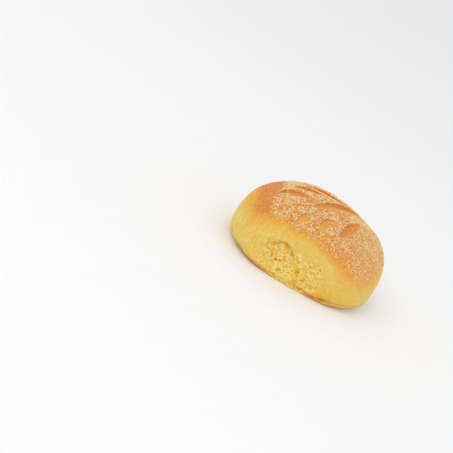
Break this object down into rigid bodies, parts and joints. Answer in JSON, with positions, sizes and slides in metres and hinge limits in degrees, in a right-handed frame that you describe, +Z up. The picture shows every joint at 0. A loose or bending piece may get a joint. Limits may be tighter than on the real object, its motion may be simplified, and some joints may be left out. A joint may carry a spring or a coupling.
{
  "type": "corn bread roll",
  "caption": "Oblong soft corn bread roll with a wheat-ear score in its crown, corn meal baked on top and torn open crumb on two sides.",
  "frame": {"origin": "middle of the roll's box in plan, on the surface that the flat foot rests on", "axes": "+Z up through the crown, +X along the roll's longer side, -Y towards the torn side that the picture shows"},
  "size_m": [0.0958, 0.0782, 0.0467],
  "materials": {
    "crust": "soft baked crust, golden brown over pale yellow sides, satin to matt, strewn with pale corn meal"
  },
  "bodies": {
    "root": {"corn_bread_roll": "crust"}
  },
  "joints": []
}
